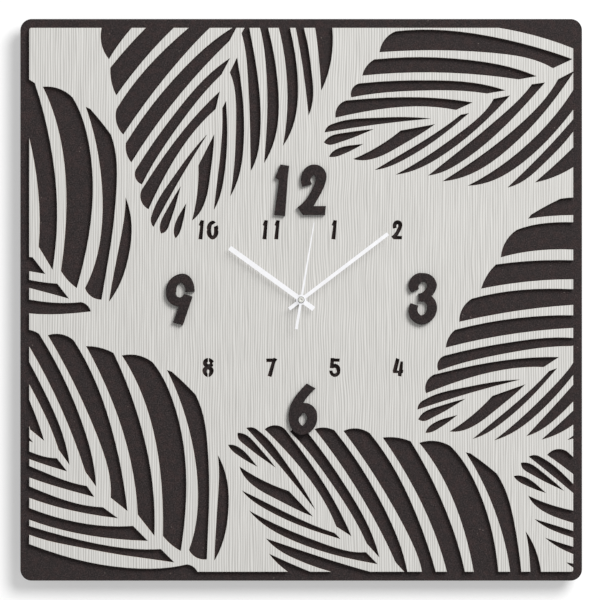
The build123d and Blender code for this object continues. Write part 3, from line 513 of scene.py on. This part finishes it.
def button_profile(radius, height, points=7):
    """Shallow dome with a rounded shoulder, as a closed profile that starts near the shaft."""
    pin = 0.02 * MM
    shoulder = 0.35 * radius
    crown = 1.08 * height
    dome = [(pin, 0.0), (radius, 0.0)]
    for index in range(1, points):
        angle = math.pi / 2 * index / (points - 1)
        reach = radius - shoulder * (1 - math.cos(angle))
        dome.append((reach, height * math.sin(angle)))
    dome.append((pin, crown))
    return dome


# The dark ring round the cap is painted shade: it stands for the shaded groove between the cap and
# the hub.
RIM_RADIUS = 2.80 * MM
RIM_HALF_WIDTH = 0.20 * MM
RIM_HEIGHT = 0.10 * MM
BUTTON_RADIUS = 2.62 * MM
BUTTON_HEIGHT = 0.14 * MM
TRIM_EDGE = 0.05 * MM
cap_face = Vector((0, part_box("second_hand")[0].y, 0))
groove_shade_ring = metal(
    "cap_groove_shade", CAP_GROOVE_SHADE, rough=0.45, tarnish=0.2, edge_radius=TRIM_EDGE, bare=0.6
)
silver = metal(
    "satin_cap",
    SATIN,
    rough=0.55,
    along=(1, 0.1, 1),
    tarnish=0.15,
    edge_radius=TRIM_EDGE,
    bare=0.2,
)
rim = turned("cap_rim", bead_profile(RIM_RADIUS, RIM_HALF_WIDTH, RIM_HEIGHT), cap_face, groove_shade_ring)
button = turned("cap_button", button_profile(BUTTON_RADIUS, BUTTON_HEIGHT), cap_face, silver)


# ---- wall and floor ---------------------------------------------------------
def stage_paint(name, colour, glow, one_sided=False):
    """Plain matt paint with a faint unevenness. A one-sided sheet can't be seen from behind."""
    s = Shader(name)
    roller = s.even(per_metre=9, detail=2.0)
    s.finish(s.mix(s.span(roller, *WIDE), colour, scaled(colour, 0.985)), 0.9, specular=0.1)
    s.put(s.surface.inputs["Emission Color"], (1.0, 1.0, 1.0))
    s.put(s.surface.inputs["Emission Strength"], glow)
    if one_sided:
        sides = s.add("ShaderNodeMixShader")
        s.put(sides.inputs[0], s.add("ShaderNodeNewGeometry").outputs["Backfacing"])
        s.put(sides.inputs[1], s.surface.outputs[0])
        s.put(sides.inputs[2], s.add("ShaderNodeBsdfTransparent").outputs[0])
        s.put(s.output.inputs["Surface"], sides.outputs[0])
    return s.material


def sheet(name, middle, across, along, material):
    """Flat rectangle from its middle and its two half sides. It isn't part of the clock."""
    corners = [
        middle - across - along,
        middle + across - along,
        middle + across + along,
        middle - across + along,
    ]
    mesh = bpy.data.meshes.new(name)
    mesh.from_pydata(corners, [], [tuple(range(len(corners)))])
    mesh.materials.append(material)
    plane = bpy.data.objects.new(name, mesh)
    bpy.context.scene.collection.objects.link(plane)
    plane.visible_diffuse = False
    plane.visible_glossy = False
    return plane


WALL_HALF = 0.62
WALL_COLOUR = (0.5, 0.5, 0.5)
WALL_GLOW = 0.375
FLOOR_HALF = 20.0
FLOOR_DROP = 0.42
FLOOR_COLOUR = (0.70, 0.70, 0.69)
FLOOR_GLOW = 0.42
wall = sheet(
    "wall",
    Vector((0, cad_high.y, 0)),
    Vector((WALL_HALF, 0, 0)),
    Vector((0, 0, WALL_HALF)),
    stage_paint("wall_paint", WALL_COLOUR, WALL_GLOW, one_sided=True),
)
wall.visible_shadow = False
sheet(
    "floor",
    Vector((0, 0, cad_low.z - FLOOR_DROP)),
    Vector((FLOOR_HALF, 0, 0)),
    Vector((0, FLOOR_HALF, 0)),
    stage_paint("floor_paint", FLOOR_COLOUR, FLOOR_GLOW),
)


# ---- lights -----------------------------------------------------------------
def lamp(name, place, size, power):
    """Round soft light that points at the clock. The place and size are in metres."""
    data = bpy.data.lights.new(name, "AREA")
    data.shape = "DISK"
    data.size = size
    data.energy = power
    thing = bpy.data.objects.new(name, data)
    thing.location = place
    thing.rotation_euler = (-place).to_track_quat("-Z", "Y").to_euler()
    thing.visible_camera = False
    bpy.context.scene.collection.objects.link(thing)
    return thing


AWAY = 4.0
BEHIND = Vector((-1.6, 2.6, 1.5))


def in_front(right, up):
    """Place in front of the clock. Right and up are shares of the distance from it."""
    return Vector((right * AWAY, -AWAY, up * AWAY))


def linked(name, things, state):
    """Collection that tells a light which objects it reaches or is blocked by."""
    group = bpy.data.collections.new(name)
    for thing in things:
        group.objects.link(thing)
    for entry in group.collection_objects:
        entry.light_linking.link_state = state
    return group


# Two lights up and right in front light the clock but not the wall. The hands block only
# the softer one, so that their shadows stay faint. The wall has a light of its own, which
# stands lower. The last light is for the rear.
hands = [nodes["hour_hand"], nodes["minute_hand"], nodes["second_hand"], rim, button]
all_but_wall = linked("all_but_wall", [wall], "EXCLUDE")
key = lamp("key", in_front(right=0.9, up=0.95), size=2.9, power=305)
key.light_linking.receiver_collection = all_but_wall
key.light_linking.blocker_collection = linked("all_but_hands", hands, "EXCLUDE")
soft_key = lamp("soft_key", in_front(right=0.9, up=1.15), size=5.0, power=255)
soft_key.light_linking.receiver_collection = all_but_wall
wall_key = lamp("wall_key", in_front(right=0.46, up=0.46), size=2.2, power=272)
wall_key.light_linking.receiver_collection = linked("wall_alone", [wall], "INCLUDE")
lamp("rear_fill", BEHIND, size=1.6, power=95)

# The sky lights the clock at one strength and is seen by the camera at another.
AMBIENT = 0.46
BACKDROP = 1.0
world = bpy.data.worlds.new("studio")
world.use_nodes = True
bpy.context.scene.world = world
sky = world.node_tree
sky.nodes.clear()
lighting = sky.nodes.new("ShaderNodeBackground")
lighting.inputs["Strength"].default_value = AMBIENT
backdrop = sky.nodes.new("ShaderNodeBackground")
backdrop.inputs["Strength"].default_value = BACKDROP
for background in (lighting, backdrop):
    background.inputs["Color"].default_value = (1, 1, 1, 1)
either = sky.nodes.new("ShaderNodeMixShader")
ray = sky.nodes.new("ShaderNodeLightPath")
world_output = sky.nodes.new("ShaderNodeOutputWorld")
sky.links.new(ray.outputs["Is Camera Ray"], either.inputs[0])
sky.links.new(lighting.outputs[0], either.inputs[1])
sky.links.new(backdrop.outputs[0], either.inputs[2])
sky.links.new(either.outputs[0], world_output.inputs["Surface"])

# ---- camera -----------------------------------------------------------------
# A long lens straight in front. The picture is a little wider than the base board, and its
# middle lies a little left of and below the shaft.
LENS = 300.0
SENSOR = 36.0
PICTURE_PER_BOARD = 1.0684
MIDDLE_X = -1.05 * MM
MIDDLE_Z = -0.15 * MM
board_low, board_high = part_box("base_panel")
picture_side = (board_high.x - board_low.x) * PICTURE_PER_BOARD
distance = picture_side * LENS / SENSOR
camera_data = bpy.data.cameras.new("camera")
camera_data.lens = LENS
camera_data.sensor_width = SENSOR
camera = bpy.data.objects.new("camera", camera_data)
camera.location = (MIDDLE_X, board_low.y - distance, MIDDLE_Z)
camera.rotation_euler = (math.pi / 2, 0, 0)
bpy.context.scene.collection.objects.link(camera)
bpy.context.scene.camera = camera

bpy.context.scene.view_settings.view_transform = "Standard"
bpy.context.scene.view_settings.look = "None"
